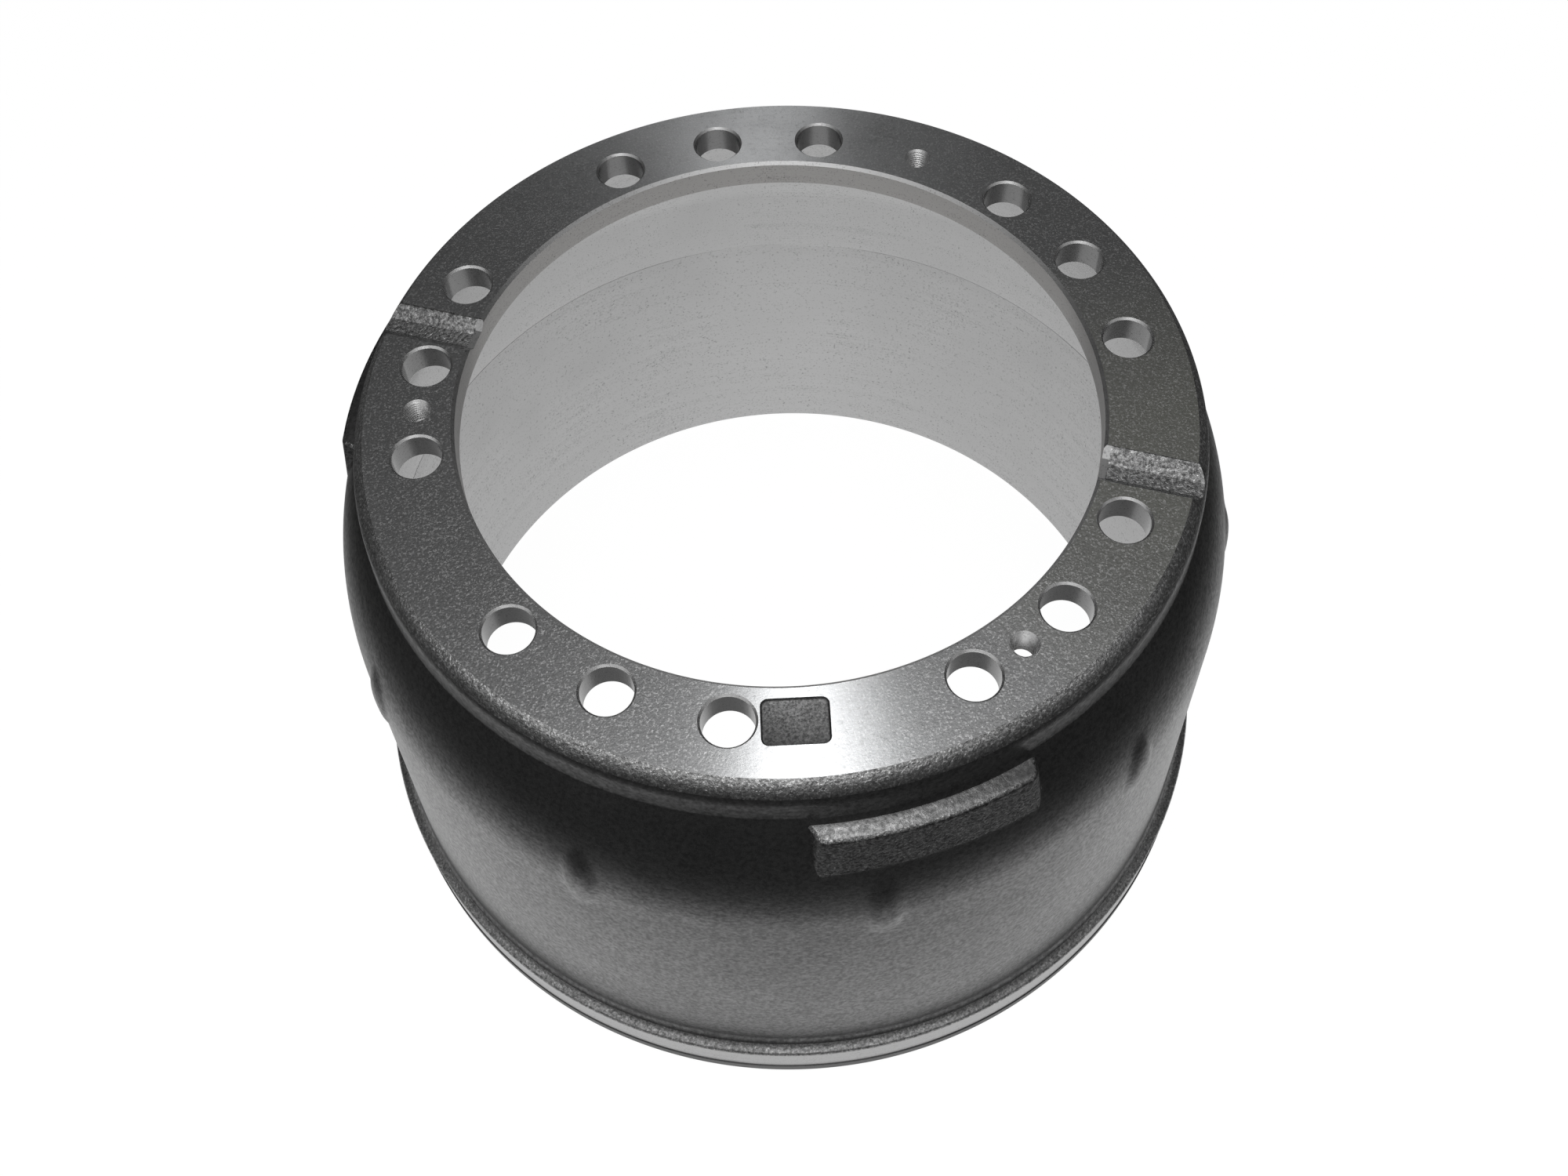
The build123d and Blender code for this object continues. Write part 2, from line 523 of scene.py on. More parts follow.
@dataclass(frozen=True)
class CastIron:
    """Grey iron as the sand mould left it: dark, grainy and faintly shiny.

    Below the second of the shade heights, in metres, the colour goes down to the shaded share: painted shade.
    """

    name: str
    colour: float = 0.14
    metal: float = 0.95
    roughness: float = 0.38
    rough_spread: float = 0.15
    grain_size: float = 2.2
    grain_depth: float = 0.16
    grain_band: Span = (0.35, 0.65)
    swell_size: float = 16.0
    swell_depth: float = 0.25
    blotch_size: float = 60.0
    blotch: float = 0.12
    spread: float = 0.45
    painted_glint: float = 0.0
    glint_size: float = 0.7
    glint_band: Span = (0.52, 0.68)
    shaded_share: float = 1.0
    shade_heights: Span = (0.2755, 0.2825)

    def build(self) -> bpy.types.Material:
        """Return the material."""
        sheet = Sheet(self.name)
        place = sheet.place()
        grains = sheet.noise(place, self.grain_size, 3.0, 0.65)
        swell = sheet.noise(place, self.swell_size, 2.0, 0.5)
        clouds = sheet.noise(place, self.blotch_size, 4.0, 0.6)
        glints = sheet.noise(place, self.grain_size * self.glint_size, 2.0, 0.6)
        tone = sheet.times(sheet.sway(clouds, self.blotch), self.colour)
        tone = sheet.times(tone, sheet.sway(grains, self.spread, self.grain_band))
        # Painted glints: fine grains are made lighter in the colour.
        tone = sheet.times(tone, sheet.band(glints, self.glint_band, 1.0, 1.0 + self.painted_glint))
        # Painted shade: the colour darkens down the rounded corner, where it turns away from the light.
        if self.shaded_share < 1.0:
            tone = sheet.times(tone, sheet.band(sheet.rise(place), self.shade_heights, self.shaded_share, 1.0))
        return sheet.finish(
            Base_Color=sheet.blend(tone, grey(0.0), grey(1.0)),
            Metallic=self.metal,
            Roughness=sheet.times(sheet.sway(grains, -self.rough_spread), self.roughness),
            Normal=sheet.bump(grains, self.grain_depth, sheet.bump(swell, self.swell_depth)),
        )


# -------- the drum


def turned_back(place: Vector, angle: float) -> Vector:
    """Return a place turned back by an angle, so that what stands there lies on +X."""
    return Vector((place.x, place.y, 0)) @ Matrix.Rotation(math.radians(angle), 3, "Z")


@dataclass
class Holes:
    """The holes through the flange: ten for the wheel studs, five between them and three with threads."""

    circle: float = 335.0
    stud: float = 23.0
    stud_edge: float = 1.0
    studs: int = 10
    extras: int = 5
    extra_angle: float = 18.0
    thread: float = 12.0
    pitch: float = 1.5
    core: float = 10.4
    root_flat: Span = (0.43, 0.57)
    thread_sides: int = 32
    screw_edge: float = 1.3
    screws: tuple[float, ...] = (54.0, 171.0, 297.0)
    sides: int = 64
    below: float = 266.0
    margin: float = 0.1

    def drill(self, name: str, diameter: float, edge: float, count: int, start: float) -> Piece:
        """Model a ring of drills with wide heads for the chamfers.

        Args:
            name: The tool's name.
            diameter: The holes' diameter.
            edge: The chamfer's width.
            count: How many there are.
            start: The first one's angle.

        Returns:
            The tool.
        """
        radius, middle, shoulder, rise = diameter / 2, self.circle / 2, FACE - edge, edge + OVER
        tool = rod(name, self.sides, radius, self.below, shoulder, middle)
        pick(tool, Pick.FACE, lambda normal: normal.z > LEVEL)
        widen = (radius + rise) / radius
        bpy.ops.mesh.extrude_region_move(TRANSFORM_OT_translate={"value": (0, 0, rise * MM)})
        bpy.ops.transform.resize(value=(widen, widen, 1), center_override=(middle * MM, 0, (shoulder + rise) * MM))
        close_edit()
        copy_round(tool, count, start)
        return tool

    def tap(self, name: str, angle: float) -> Piece:
        """Model a screw tap: one groove of the thread swept up its helix and cut level at both ends.

        Args:
            name: The tool's name.
            angle: The hole's angle.

        Returns:
            The tool.
        """
        crest, root = self.core / 2, self.thread / 2
        start = self.below - self.pitch
        corners = ((crest, 0.0), (root, self.root_flat[0]), (root, self.root_flat[1]), (crest, 1.0))
        tool = trace(name, [Vector((r * MM, 0, (start + share * self.pitch) * MM)) for r, share in corners], False)
        hold(tool)
        helix = tool.modifiers.new("helix", "SCREW")
        helix.axis = "Z"
        helix.steps = helix.render_steps = self.thread_sides
        helix.screw_offset = self.pitch * MM
        helix.iterations = math.ceil((FACE + 2 * OVER - start) / self.pitch)
        helix.use_merge_vertices = True
        helix.merge_threshold = TINY
        bpy.ops.object.modifier_apply(modifier=helix.name)
        for level, side in ((self.below + OVER, -1), (FACE + OVER, 1)):
            edit(tool)
            bpy.ops.mesh.remove_doubles(threshold=TINY)
            bpy.ops.mesh.select_all(action="SELECT")
            plane = {"plane_co": (0, 0, level * MM), "plane_no": (0, 0, side)}
            bpy.ops.mesh.bisect(**plane, use_fill=True, clear_outer=True)
            close_edit()
        tool.data.transform(Matrix.Translation((self.circle / 2 * MM, 0, 0)))
        copy_round(tool, 1, angle)
        return tool

    def cut(self, drum: Piece) -> None:
        """Drill and tap all the holes.

        Args:
            drum: The drum's object.
        """
        for name, count, start in (("stud_drills", self.studs, 0.0), ("extra_drills", self.extras, self.extra_angle)):
            combine(drum, self.drill(name, self.stud, self.stud_edge, count, start), Join.CUT)
        for number, angle in enumerate(self.screws):
            combine(drum, self.drill(f"screw_drill_{number}", self.core, self.screw_edge, 1, angle), Join.CUT)
            combine(drum, self.tap(f"tap_{number}", angle), Join.CUT)

    def near(self, place: Vector) -> Region | None:
        """Say whether a place on the flange lies at a hole.

        Args:
            place: The place.

        Returns:
            The hole's region, or None away from the holes.
        """
        angles = [360.0 / self.studs * step for step in range(self.studs)]
        angles += [self.extra_angle + 360.0 / self.extras * step for step in range(self.extras)]
        rings = [(angle, self.stud / 2 + self.stud_edge, Region.HOLES) for angle in angles]
        rings += [(angle, self.thread / 2 + self.screw_edge, Region.THREADS) for angle in self.screws]
        for angle, reach, kind in rings:
            if (turned_back(place, angle) - Vector((self.circle / 2, 0, 0))).length < reach + self.margin:
                return kind
        return None


@dataclass
class Slots:
    """The two rough slots across the face, each with a low turned ledge at the bore.

    Banks are the widths of the slopes along a slot's floor, first the one on the side of -Y.
    """

    count: int = 2
    angle: float = 153.8
    width: float = 20.0
    depth: float = 6.0
    draft: float = 8.0
    banks: Span = (5.0, 5.5)
    floor_edge: float = 8.0
    inner: float = 141.2
    outer: float = 206.0
    ledge_radius: float = 153.2
    ledge_depth: float = 4.5
    ledge_overlap: float = 0.3
    core_reach: float = 30.0
    sides: int = 720
    margin: float = 0.4

    def trough(self, name: str, outer: float, depth: float) -> Piece:
        """Model a drafted trough with a sloping bank along each side, pointing towards +X.

        Args:
            name: The tool's name.
            outer: Where it ends along X.
            depth: How deep it goes below the face.

        Returns:
            The tool.
        """
        high, lean = depth + OVER, slope(self.draft)
        wide = self.width + 2 * OVER * lean
        middle = ((self.inner + outer) / 2, 0, FACE + OVER - high / 2)
        tool = box(name, middle, (outer - self.inner, wide, high))
        pick(tool, Pick.FACE, lambda normal: normal.z < -LEVEL)
        shrink = (self.width - 2 * depth * lean) / wide
        bpy.ops.transform.resize(value=(1, shrink, 1), center_override=(0, 0, (FACE - depth) * MM))
        close_edit()
        floor, off = (FACE - depth) * MM + TINY, self.floor_edge * MM
        for side, bank in zip((-1, 1), self.banks):
            pick(
                tool,
                Pick.EDGE,
                lambda a, b: max(a.z, b.z) < floor and abs(a.y - b.y) < TINY and a.y * side > off,
            )
            bpy.ops.mesh.bevel(offset=bank * depth / self.depth * MM, offset_type="OFFSET", segments=1)
            close_edit()
        return tool

    def cut(self, drum: Piece) -> None:
        """Cut both slots and their ledges.

        Args:
            drum: The drum's object.
        """
        deep = self.trough("slot_troughs", self.outer, self.depth)
        core = rod("ledge_core", self.sides, self.ledge_radius, FACE - self.core_reach, FACE + self.core_reach)
        combine(deep, core, Join.CUT)
        ledge = self.trough("ledge_troughs", self.ledge_radius + self.ledge_overlap, self.ledge_depth)
        for tool in (deep, ledge):
            copy_round(tool, self.count, self.angle)
            combine(drum, tool, Join.CUT)

    def near(self, place: Vector) -> Region | None:
        """Say whether a place on the flange lies in a slot.

        Args:
            place: The place.

        Returns:
            The region, or None away from the slots.
        """
        place = turned_back(place, self.angle)
        if abs(place.y) > self.width / 2 + self.margin:
            return None
        return Region.LEDGE if place.length < self.ledge_radius + TINY / MM else Region.SLOTS


@dataclass
class Pocket:
    """The shallow cast pocket in the face, beside a stud hole."""

    angle: float = 261.5
    circle: float = 333.4
    size: Span = (21.4, 28.8)
    corner: float = 3.5
    depth: float = 1.6
    draft: float = 15.0
    floor_round: float = 0.6
    margin: float = 0.4

    def cut(self, drum: Piece) -> None:
        """Cut the pocket with a drafted block that has rounded edges.

        Args:
            drum: The drum's object.
        """
        high, lean = self.depth + OVER, slope(self.draft)
        middle = (self.circle / 2, 0, FACE + OVER - high / 2)
        wide = [size + 2 * OVER * lean for size in self.size]
        tool = box("pocket_tool", middle, (*wide, high))
        pick(tool, Pick.EDGE, lambda a, b: abs(a.z - b.z) > MM)
        bpy.ops.mesh.bevel(offset=self.corner * MM, segments=6, profile=0.5)
        close_edit()
        pick(tool, Pick.FACE, lambda normal: normal.z < -LEVEL)
        shrink = [(size - 2 * self.depth * lean) / w for size, w in zip(self.size, wide)]
        bpy.ops.transform.resize(value=(*shrink, 1), center_override=[value * MM for value in middle])
        bpy.ops.mesh.bevel(offset=self.floor_round * MM, segments=3, profile=0.5)
        close_edit()
        copy_round(tool, 1, self.angle)
        combine(drum, tool, Join.CUT)

    def near(self, place: Vector) -> Region | None:
        """Say whether a place on the flange lies in the pocket.

        Args:
            place: The place.

        Returns:
            The region, or None away from the pocket.
        """
        place = turned_back(place, self.angle)
        out, across = abs(place.x - self.circle / 2), abs(place.y)
        inside = out < self.size[0] / 2 + self.margin and across < self.size[1] / 2 + self.margin
        return Region.POCKET if inside else None


@dataclass
class Pads:
    """The three raised pads on the shoulder. Their roots lie inside the wall, further out at the foot."""

    count: int = 3
    angle: float = 36.8
    top: float = 258.0
    foot: float = 191.0
    reach: float = 210.1
    root: float = 193.0
    foot_root: float = 212.0
    across: float = 96.0
    root_across: float = 102.0
    corner: float = 5.0
    corner_steps: int = 5
    front_steps: int = 16
    draft: float = 8.0
    edge: float = 1.6
    edge_steps: int = 4
    proud: float = 34.0
    margin: float = 0.1
    flank_margin: float = 3.0

    def build(self) -> Piece:
        """Model the pads: outline, fill, draw down with a draft and round the top's edge.

        Returns:
            The three pads in one object.
        """
        half = math.atan2(self.across / 2, math.sqrt(self.reach**2 - (self.across / 2) ** 2))
        front = []
        for step in range(self.front_steps + 1):
            turn = half * (2 * step / self.front_steps - 1)
            front.append(Vector((self.reach * math.cos(turn) * MM, self.reach * math.sin(turn) * MM, self.top * MM)))
        side = self.root_across / 2 * MM
        left, right = (Vector((self.root * MM, y, self.top * MM)) for y in (side, -side))
        front_left = soften(front[-2], front[-1], left, self.corner * MM, self.corner_steps)
        front_right = soften(right, front[0], front[1], self.corner * MM, self.corner_steps)
        pads = trace("pads", [*front_right, *front[2:-2], *front_left, left, right])
        edit(pads)
        bpy.ops.mesh.edge_face_add()
        deep = self.top - self.foot
        widen = (self.across / 2 + deep * slope(self.draft)) / (self.across / 2)
        fixed = self.reach - deep * slope(self.draft) / (widen - 1)
        bpy.ops.mesh.extrude_region_move(TRANSFORM_OT_translate={"value": (0, 0, -deep * MM)})
        bpy.ops.transform.resize(value=(widen, widen, 1), center_override=(fixed * MM, 0, self.foot * MM))
        bpy.ops.mesh.select_all(action="SELECT")
        bpy.ops.mesh.normals_make_consistent(inside=False)
        close_edit()
        # The root's corners at the foot are further to the sides than the front's.
        sides = (self.across + self.root_across) / 4 * widen * MM
        for point in pads.data.vertices:
            if point.co.z < self.foot * MM + TINY and abs(point.co.y) > sides:
                point.co.x = self.foot_root * MM
        rim, back = self.top * MM - TINY, self.root * MM + TINY
        pick(pads, Pick.EDGE, lambda a, b: min(a.z, b.z) > rim and max(a.x, b.x) > back)
        bpy.ops.mesh.bevel(offset=self.edge * MM, segments=self.edge_steps, profile=0.5)
        close_edit()
        copy_round(pads, self.count, self.angle)
        return pads

    def near(self, place: Vector) -> bool:
        """Say whether a place lies between a pad's flanks and no lower than its front shows.

        Args:
            place: The place.

        Returns:
            Whether it does.
        """
        deep, spacing = self.top - place.z, math.tau / self.count
        turn = (math.atan2(place.y, place.x) - math.radians(self.angle) + spacing / 2) % spacing - spacing / 2
        across = abs(math.hypot(place.x, place.y) * math.sin(turn))
        flank = self.across / 2 + deep * slope(self.draft) + self.flank_margin
        return -self.margin < deep < self.proud and across < flank


@dataclass
class Casting:
    """The drum itself: its section is drawn and spun, then gets its swellings, pads, slots and holes.

    Drops are measured down from the mounting face, and shares of the barrel down from the shoulder.
    """

    steps: int = 720
    braking_radius: float = 205.0
    braking_width: float = 167.0
    mouth_edge: float = 2.5
    relief: float = 0.12
    barrel_top: float = 222.1
    barrel_foot: float = 230.7
    barrel_rings: tuple[float, ...] = (
        0.02, 0.04, 0.06, 0.08, 0.1, 0.12, 0.14, 0.16, 0.18, 0.21, 0.3, 0.45, 0.6, 0.75, 0.9,
    )
    rim_radius: float = 237.5
    rim_height: float = 30.5
    rim_slope: float = 65.0
    rim_root: float = 9.0
    rim_root_steps: int = 7
    rim_corner: float = 2.2
    rim_corner_rise: float = 0.5
    rim_corner_steps: int = 5
    rim_skim: float = 0.15
    rim_skim_drop: float = 1.2
    lip_height: float = 9.5
    lip_step: float = 0.5
    lip_edge: float = 3.0
    flange: float = 14.0
    bore: float = 150.0
    bore_edge: float = 1.5
    bore_lower_edge: float = 0.5
    face_radius: float = 192.0
    band_top: float = 199.0
    band_foot: float = 199.6
    corner_drop: float = 15.0
    corner_steps: int = 10
    corner_finish: float = 9.0
    crease_drop: float = 24.0
    crease_round: float = 3.0
    crease_steps: int = 5
    crease_gap: float = 1.0
    shoulder_drop: float = 94.0
    shoulder_steps: int = 26
    shoulder_wall: float = 15.0
    inner_bend_drop: float = 72.0
    inner_bend: float = 40.0
    inner_bend_steps: int = 9
    root_edge: float = 4.0
    swelling_angle: float = 18.8
    swelling_count: int = 10
    swelling_drop: float = 91.0
    swelling_half: tuple[float, float, float] = (10.0, 32.0, 21.0)
    swelling_height: float = 2.0
    swelling_lean: Span = (3.0, 0.4)
    smooth_angle: float = 28.0
    hair: float = 0.05
    margin: float = 0.5
    pad_rise: float = 0.15
    rim_top_reach: Span = (1.6, 4.0)
    holes: Holes = field(default_factory=Holes)
    slots: Slots = field(default_factory=Slots)
    pocket: Pocket = field(default_factory=Pocket)
    pads: Pads = field(default_factory=Pads)

    def shoulder(self) -> tuple[Vector, Vector, Vector]:
        """Lay out the shoulder's arc, from the crease down to where it runs smoothly into the barrel.

        Returns:
            Its first and last point, seen from its centre, and the centre.
        """
        start = Vector((self.band_foot, FACE - self.crease_drop))
        end = Vector((self.barrel_top, FACE - self.shoulder_drop))
        down = (Vector((self.barrel_foot, self.rim_height)) - end).normalized()
        inward = Vector((down.y, -down.x))
        run = start - end
        centre = end + inward * (run.length_squared / (2 * run.dot(inward)))
        return start - centre, end - centre, centre

    def outside(self) -> list[Vector]:
        """Return the section's outer side, from the face down to the mouth."""
        tall = self.band_top - self.face_radius
        radius = (tall**2 + self.corner_drop**2) / (2 * tall)
        reach = math.asin(self.corner_drop / radius)
        points = []
        for step in range(self.corner_steps + 1):
            turn = reach * (1 - step / self.corner_steps)
            out, up = self.band_top - radius * (1 - math.cos(turn)), radius * math.sin(turn)
            points.append(Vector((out, FACE - self.corner_drop + up)))
        shoulder = arc(*self.shoulder(), self.shoulder_steps)
        points += soften(points[-1], shoulder[0], shoulder[1], self.crease_round, self.crease_steps)
        points += [point for point in shoulder[1:] if point.y < points[-1].y - self.crease_gap]
        foot = self.rim_height + (self.rim_radius - self.barrel_foot) / math.tan(math.radians(self.rim_slope))
        top, root = shoulder[-1], Vector((self.barrel_foot, foot))
        points += [top.lerp(root, share) for share in self.barrel_rings]
        rim, turned, lip = self.rim_radius, self.rim_radius - self.rim_skim, self.rim_radius + self.lip_step
        corner = Vector((rim, self.rim_height + self.rim_corner_rise))
        points += soften(top, root, corner, self.rim_root, self.rim_root_steps)
        points += soften(root, corner, Vector((rim, 0)), self.rim_corner, self.rim_corner_steps)
        return points + [
            Vector((turned, self.rim_height - self.rim_skim_drop)),
            Vector((turned, self.lip_height + self.lip_step)),
            Vector((lip, self.lip_height)),
            Vector((lip, self.lip_edge)),
            Vector((lip - self.lip_edge, 0)),
        ]

    def inside(self) -> list[Vector]:
        """Return the section's inner side, from the mouth up to the face."""
        under = FACE - self.flange
        low = Vector((self.braking_radius + self.relief, self.braking_width + self.relief))
        bend = Vector((self.braking_radius + self.relief, FACE - self.inner_bend_drop))
        root = Vector((self.band_foot - self.shoulder_wall, under))
        return [
            Vector((self.braking_radius + self.mouth_edge, 0)),
            Vector((self.braking_radius, self.mouth_edge)),
            Vector((self.braking_radius, self.braking_width)),
            low,
            *soften(low, bend, root, self.inner_bend, self.inner_bend_steps),
            root + (bend - root).normalized() * self.root_edge,
            Vector((root.x - self.root_edge, under)),
            Vector((self.bore + self.bore_lower_edge, under)),
            Vector((self.bore, under + self.bore_lower_edge)),
            Vector((self.bore, FACE - self.bore_edge)),
            Vector((self.bore + self.bore_edge, FACE)),
        ]

    def swell(self, drum: Piece) -> None:
        """Raise the ten soft swellings out of the shoulder.

        Args:
            drum: The drum's object.
        """
        wide, above, below = self.swelling_half
        least, more = self.swelling_lean
        spacing = 360.0 / self.swelling_count
        for point in drum.data.vertices:
            radius, drop = point.co.xy.length / MM, FACE - point.co.z / MM
            if radius < self.braking_radius + self.mouth_edge + self.margin or abs(drop - self.swelling_drop) > above:
                continue
            turn = (math.degrees(math.atan2(point.co.y, point.co.x)) - self.swelling_angle) % spacing
            turn = min(turn, spacing - turn)
            long = below if drop > self.swelling_drop else above
            share = 1 - (math.radians(turn) * radius / wide) ** 2 - ((drop - self.swelling_drop) / long) ** 2
            if share > 0:
                out = Vector((point.co.x, point.co.y, 0)).normalized()
                lean = math.radians(least + max(0.0, self.shoulder_drop - drop) * more)
                out = out * math.cos(lean) + Vector((0, 0, math.sin(lean)))
                point.co += out * (self.swelling_height * MM * share * share * (3 - 2 * share))

    def flange_region(self, place: Vector, up: float) -> Region | None:
        """Say which finish a face of the flange has, other than the mounting face itself.

        Args:
            place: Its middle.
            up: The height of its normal.

        Returns:
            Its region, or None below the rounded corner.
        """
        radius = math.hypot(place.x, place.y)
        hole = self.holes.near(place)
        if hole:
            return Region.EDGE if up > SLOPING else hole
        hollow = self.slots.near(place) or self.pocket.near(place)
        high = place.z > FACE - self.slots.depth - self.hair
        if hollow and high and (radius > self.bore + self.margin or up > SLOPING):
            step = hollow is Region.LEDGE and up < SLOPING and radius > self.slots.ledge_radius - self.margin
            return Region.POCKET if step else hollow
        if radius < self.slots.ledge_radius:
            return Region.EDGE if up > SLOPING else Region.BORE
        return Region.CORNER if place.z > FACE - self.corner_finish else None

    def region(self, face: bpy.types.MeshPolygon) -> Region:
        """Say which finish a face has.

        Args:
            face: The face of the finished mesh.

        Returns:
            Its region.
        """
        place = face.center / MM
        x, y, z = place
        radius = math.hypot(x, y)
        up = face.normal.z
        inward = face.normal.x * x + face.normal.y * y < 0
        if z > FACE - self.hair and up > LEVEL:
            return Region.FACE
        if z > FACE - self.flange + TINY / MM and radius < self.band_top + self.margin:
            found = self.flange_region(place, up)
            if found:
                return found
        within = radius < self.braking_radius + self.mouth_edge
        if within and z < self.braking_width + self.relief and inward:
            return Region.BRAKING
        if within and up < SLOPING and (inward or up < -2 * STEEP):
            return Region.INSIDE
        crease, _, middle = self.shoulder()
        if self.pads.near(place) and (Vector((radius, z)) - middle).length > crease.length + self.pad_rise:
            return Region.PAD
        if z < self.lip_height + self.lip_step / 2 + self.hair:
            return Region.LIP
        if radius > self.rim_radius - self.margin and z < self.rim_height and up < STEEP:
            return Region.RIM
        if radius > self.barrel_foot + self.rim_top_reach[0] and z < self.rim_height + self.rim_top_reach[1]:
            return Region.RIM_TOP
        return Region.CAST

    def build(self) -> Piece:
        """Model the whole drum.

        Returns:
            The drum's object.
        """
        section = [Vector((point.x * MM, 0, point.y * MM)) for point in [*self.outside(), *self.inside()]]
        drum = trace("drum_casting", section)
        edit(drum)
        bpy.ops.mesh.spin(steps=self.steps, angle=math.tau, center=(0, 0, 0), axis=(0, 0, 1))
        close_edit()
        settle(drum)
        LOG.info("%s: section of %d points spun to %d faces", drum.name, len(section), len(drum.data.polygons))
        self.swell(drum)
        combine(drum, self.pads.build(), Join.ADD)
        for cutter in (self.slots, self.pocket, self.holes):
            cutter.cut(drum)
        return drum

    def dress(self, drum: Piece) -> None:
        """Give each region its finish and smooth the curved faces.

        Args:
            drum: The drum's object.
        """
        drum.data.materials.clear()
        for finish in FINISHES.values():
            drum.data.materials.append(finish.build())
        for face in drum.data.polygons:
            face.material_index = self.region(face).value
        hold(drum)
        bpy.ops.object.shade_smooth_by_angle(angle=math.radians(self.smooth_angle))


FINISHES: dict[Region, TurnedIron | CastIron] = {
    Region.CAST: CastIron("cast_skin", roughness=0.36, grain_depth=0.12, spread=0.35),
    Region.FACE: TurnedIron(
        "turned_face", warm=-0.015, anisotropy=0.97, mark_tone=0.06, pore_size=1.4, pore_dark=0.7, pore_lift=5.0,
        painted_glint=1.2, reflection_patch=0.9, film=0.4,
    ),
    Region.BORE: TurnedIron("turned_bore", colour=0.36, warm=0.02, anisotropy=0.85),
    Region.HOLES: TurnedIron("drilled_holes", colour=0.2, anisotropy=0.0, roughness=0.25),
    Region.SLOTS: CastIron(
        "slot_casting", colour=0.25, grain_size=1.8, grain_depth=0.5, roughness=0.45, spread=0.6, painted_glint=0.8
    ),
    Region.BRAKING: TurnedIron("braking_surface", colour=0.52, roughness=0.36, anisotropy=0.9, pore_size=1.3),
    Region.RIM: TurnedIron("turned_rim", colour=0.45, roughness=0.35),
    # Painted shade: the lip is coloured dark for the floor's shade beside the drum's foot, which it reflects.
    Region.LIP: TurnedIron("dark_lip", colour=0.1, roughness=0.4),
    Region.INSIDE: TurnedIron("turned_inside", colour=0.5, roughness=0.36),
    Region.LEDGE: TurnedIron("turned_ledge", colour=0.5, roughness=0.45, anisotropy=0.2),
    Region.THREADS: TurnedIron("cut_threads", colour=0.85, roughness=0.6, anisotropy=0.0, mark_tone=0.0),
    Region.POCKET: CastIron("pocket_casting", colour=0.15, grain_size=1.1, grain_depth=0.1, roughness=0.5),
    # Painted highlight: the corner's cast skin is coloured three times lighter than the rest, for the light on its
    # upper part.
    Region.CORNER: CastIron(
        "corner_casting", colour=0.42, grain_size=1.7, grain_depth=0.4, roughness=0.4, painted_glint=1.4, shaded_share=0.35
    ),
    Region.RIM_TOP: CastIron("rim_casting", colour=0.26, grain_size=1.6, grain_depth=0.2, roughness=0.45, painted_glint=0.8),
    Region.PAD: CastIron("pad_casting", grain_size=1.6, grain_depth=0.5, roughness=0.42, spread=0.6, painted_glint=1.0),
    Region.EDGE: TurnedIron("hole_edges", colour=0.6, roughness=0.45, anisotropy=0.0, mark_tone=0.0),
}


# -------- the studio


@dataclass(frozen=True)
class Lamp:
    """One flat soft light, aimed at the drum's face. Metres, with the light's mean radiance as its strength."""

    name: str
    place: tuple[float, float, float]
    wide: float
    long: float
    radiance: float
    turn: float = 0.0

    def hang(self) -> None:
        """Put the light in its place."""
        data = bpy.data.lights.new(self.name, "AREA")
        data.shape, data.size, data.size_y = "RECTANGLE", self.wide, self.long
        data.energy = self.radiance * math.pi * self.wide * self.long
        lamp = bpy.data.objects.new(self.name, data)
        bpy.context.scene.collection.objects.link(lamp)
        aim = (Vector((0, 0, FACE * MM)) - Vector(self.place)).to_track_quat("-Z", "Y").to_matrix().to_4x4()
        turn = Matrix.Rotation(math.radians(self.turn), 4, "Z")
        lamp.matrix_world = Matrix.Translation(self.place) @ aim @ turn
        LOG.info("%s: %.2f by %.2f m", self.name, self.wide, self.long)


LAMPS = (
    Lamp("overhead_strip", (-0.03, -0.2, 2.0), 0.26, 1.3, 11.5, -9.0),
    Lamp("overhead_box", (0.0, -0.35, 2.1), 2.4, 1.2, 0.5),
    Lamp("front_panel", (-0.22, -1.38, 1.25), 1.4, 0.7, 1.6),
    Lamp("left_panel", (-1.4, -0.66, 0.98), 1.3, 0.6, 1.3),
    Lamp("right_panel", (1.2, -1.0, 0.98), 0.9, 0.6, 0.8),
)


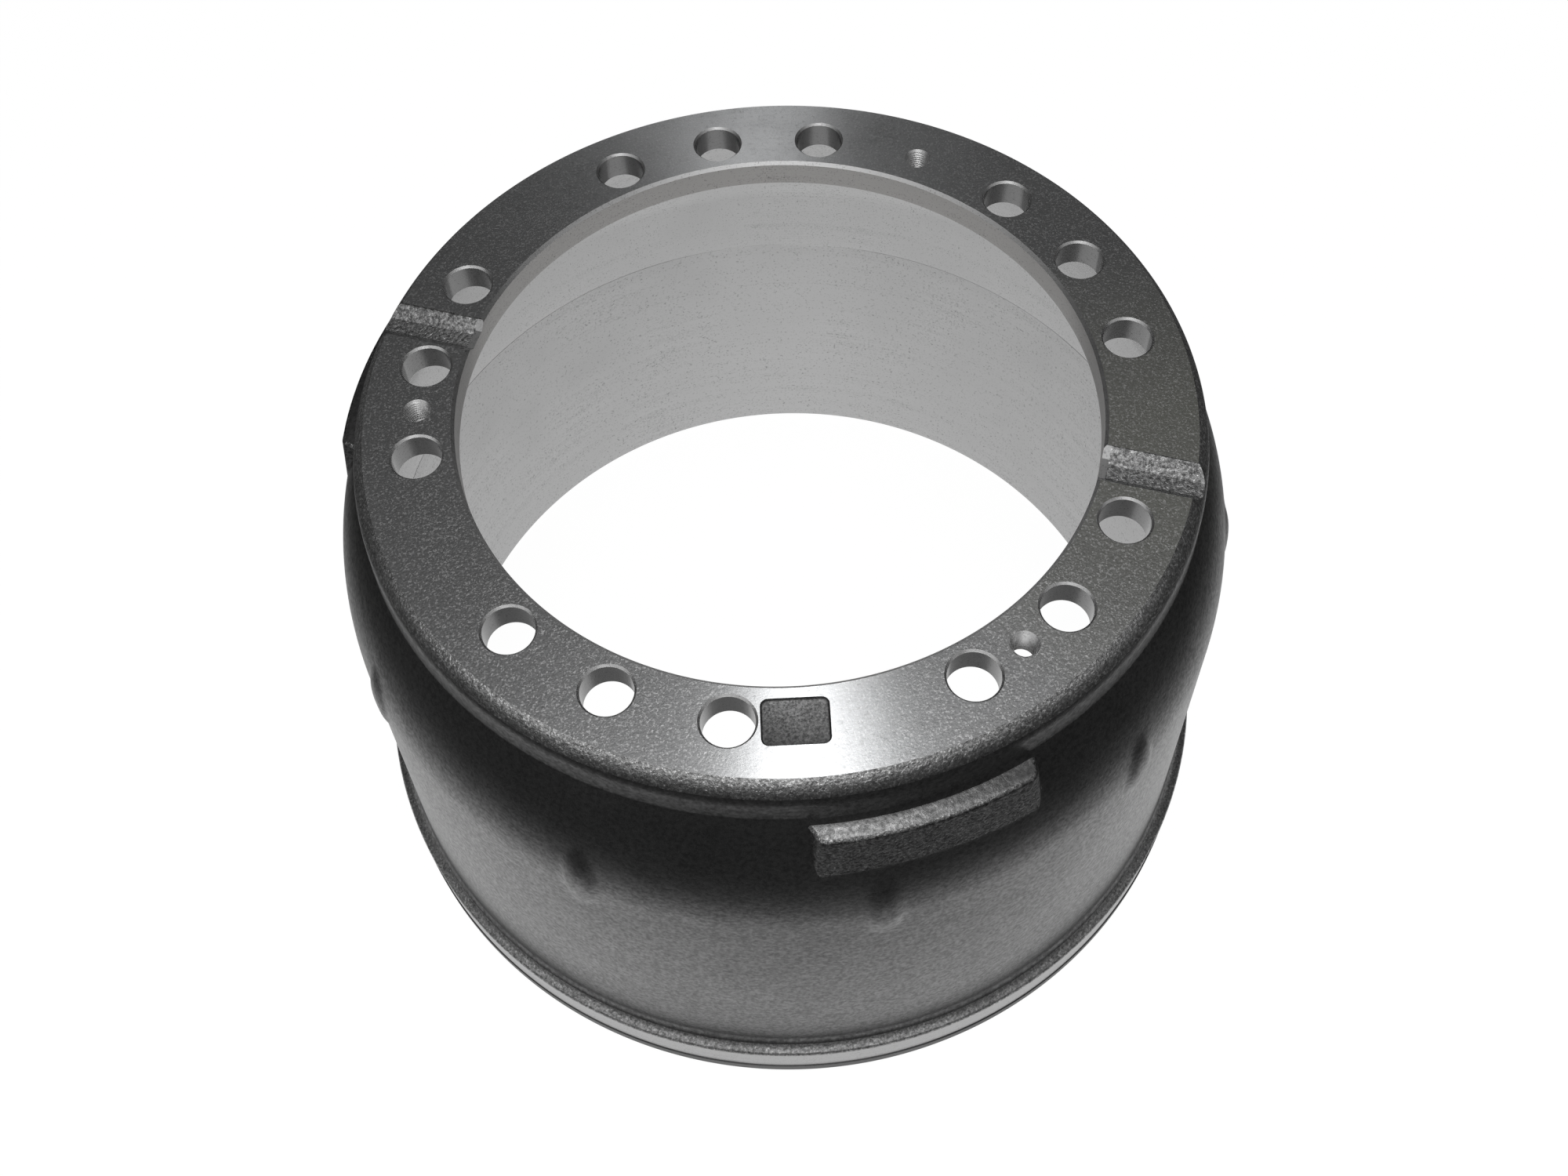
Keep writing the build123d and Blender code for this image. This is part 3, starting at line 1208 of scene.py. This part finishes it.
@dataclass
class Studio:
    """A pale floor, soft lights, a dim room and the camera at the photograph's view. Metres."""

    lens: float = 35.47
    sensor: float = 36.0
    clip: Span = (0.01, 100.0)
    eye: tuple[float, float, float] = (-0.0699, -0.4370, 0.8526)
    right: tuple[float, float, float] = (0.9815, -0.1905, -0.0214)
    up: tuple[float, float, float] = (0.1743, 0.8409, 0.5124)
    back: tuple[float, float, float] = (-0.0796, -0.5066, 0.8585)
    floor_size: float = 16.0
    floor_grey: float = 0.85
    floor_white: float = 1.05
    floor_share: float = 0.93
    pool: Span = (0.32, 0.5)
    pool_squash: float = 1.2
    pool_edge: float = 0.02
    room_heights: Span = (0.15, 0.95)
    room_low: float = 0.01
    room_high: float = 0.08

    def camera(self) -> None:
        """Set up the camera."""
        data = bpy.data.cameras.new("camera")
        data.lens, data.sensor_width = self.lens, self.sensor
        data.clip_start, data.clip_end = self.clip
        camera = bpy.data.objects.new("camera", data)
        bpy.context.scene.collection.objects.link(camera)
        turn = Matrix((self.right, self.up, self.back)).transposed().to_4x4()
        camera.matrix_world = Matrix.Translation(self.eye) @ turn
        bpy.context.scene.camera = camera

    def floor(self) -> None:
        """Lay the floor: white to the camera, bright round the drum in reflections, a little shaded."""
        bpy.ops.mesh.primitive_plane_add(size=self.floor_size, location=(0, 0, 0))
        floor = bpy.context.object
        floor.name = "floor"
        sheet = Sheet("floor")
        ray = sheet.node("ShaderNodeLightPath").outputs
        away = sheet.length(sheet.vector("MULTIPLY", sheet.place(), (1.0, self.pool_squash, 1.0)))
        pool = sheet.band(away, self.pool, 1.0, self.pool_edge)
        mirrored = sheet.math("MAXIMUM", ray["Is Glossy Ray"], ray["Is Transmission Ray"])
        seen = sheet.times(ray["Is Camera Ray"], self.floor_white)
        strength = sheet.math("MAXIMUM", seen, sheet.times(mirrored, pool))
        glow = sheet.node("ShaderNodeEmission", {"Color": grey(1.0), "Strength": strength})
        cloth = sheet.node("ShaderNodeBsdfDiffuse", {"Color": grey(self.floor_grey)})
        share = sheet.times(sheet.math("MAXIMUM", ray["Is Camera Ray"], mirrored), self.floor_share)
        mixed = sheet.node("ShaderNodeMixShader", {0: share, 1: cloth.outputs[0], 2: glow.outputs[0]})
        sheet.node("ShaderNodeOutputMaterial", {"Surface": mixed.outputs[0]})
        floor.data.materials.append(sheet.material)

    def room(self) -> None:
        """Make the dim room: white to the camera, otherwise dark low down and lighter overhead."""
        world = bpy.data.worlds.new("room")
        bpy.context.scene.world = world
        world.use_nodes = True
        nodes = Nodes(world.node_tree)
        up = nodes.rise(nodes.node("ShaderNodeTexCoord").outputs["Generated"])
        dim = nodes.band(up, self.room_heights, self.room_low, self.room_high)
        strength = nodes.math("MAXIMUM", nodes.node("ShaderNodeLightPath").outputs["Is Camera Ray"], dim)
        glow = nodes.node("ShaderNodeBackground", {"Color": grey(1.0), "Strength": strength})
        nodes.node("ShaderNodeOutputWorld", {"Surface": glow.outputs[0]})

    def build(self) -> None:
        """Set up the whole studio."""
        self.camera()
        self.floor()
        self.room()
        for lamp in LAMPS:
            lamp.hang()
        bpy.context.scene.view_settings.view_transform = "Standard"
        LOG.info("studio: floor, room, lights and camera")


def main() -> None:
    """Build the drum and the studio."""
    logging.basicConfig(level=logging.INFO, format="%(name)s: %(message)s")
    casting = Casting()
    drum = casting.build()
    casting.dress(drum)
    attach(drum, "root")
    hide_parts("brake_drum")
    LOG.info("%s: %d faces, %d vertices", drum.name, len(drum.data.polygons), len(drum.data.vertices))
    Studio().build()


if __name__ == "__main__":
    main()
